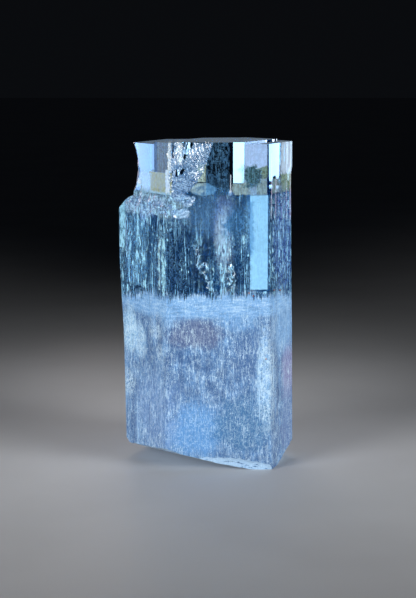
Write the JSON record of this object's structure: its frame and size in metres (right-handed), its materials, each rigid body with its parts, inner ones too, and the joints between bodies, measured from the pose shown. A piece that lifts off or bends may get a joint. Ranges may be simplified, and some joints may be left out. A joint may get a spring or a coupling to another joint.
{
  "type": "aquamarine crystal",
  "caption": "Free-standing pale blue hexagonal beryl crystal with a flat top, a narrower clear crown on a broken ledge, a clear dark band, a milky lower half and a broken base.",
  "frame": {"origin": "middle of the bounding box's footprint, on the surface that the crystal stands on", "axes": "+Z along the crystal's c axis, from the broken base to the flat top; +X to the right and +Y away as the broad front prism face is looked at"},
  "size_m": [0.0324, 0.0234, 0.0595],
  "materials": {
    "clear_beryl": "natural crystal faces, glossy, finely striated along the prism",
    "milky_beryl": "cloudy with fine parallel growth tubes",
    "pale_inclusion": "soft yellow-green to olive mineral film inside the crystal"
  },
  "bodies": {
    "root": {"aquamarine_crystal": "clear_beryl"}
  },
  "joints": []
}
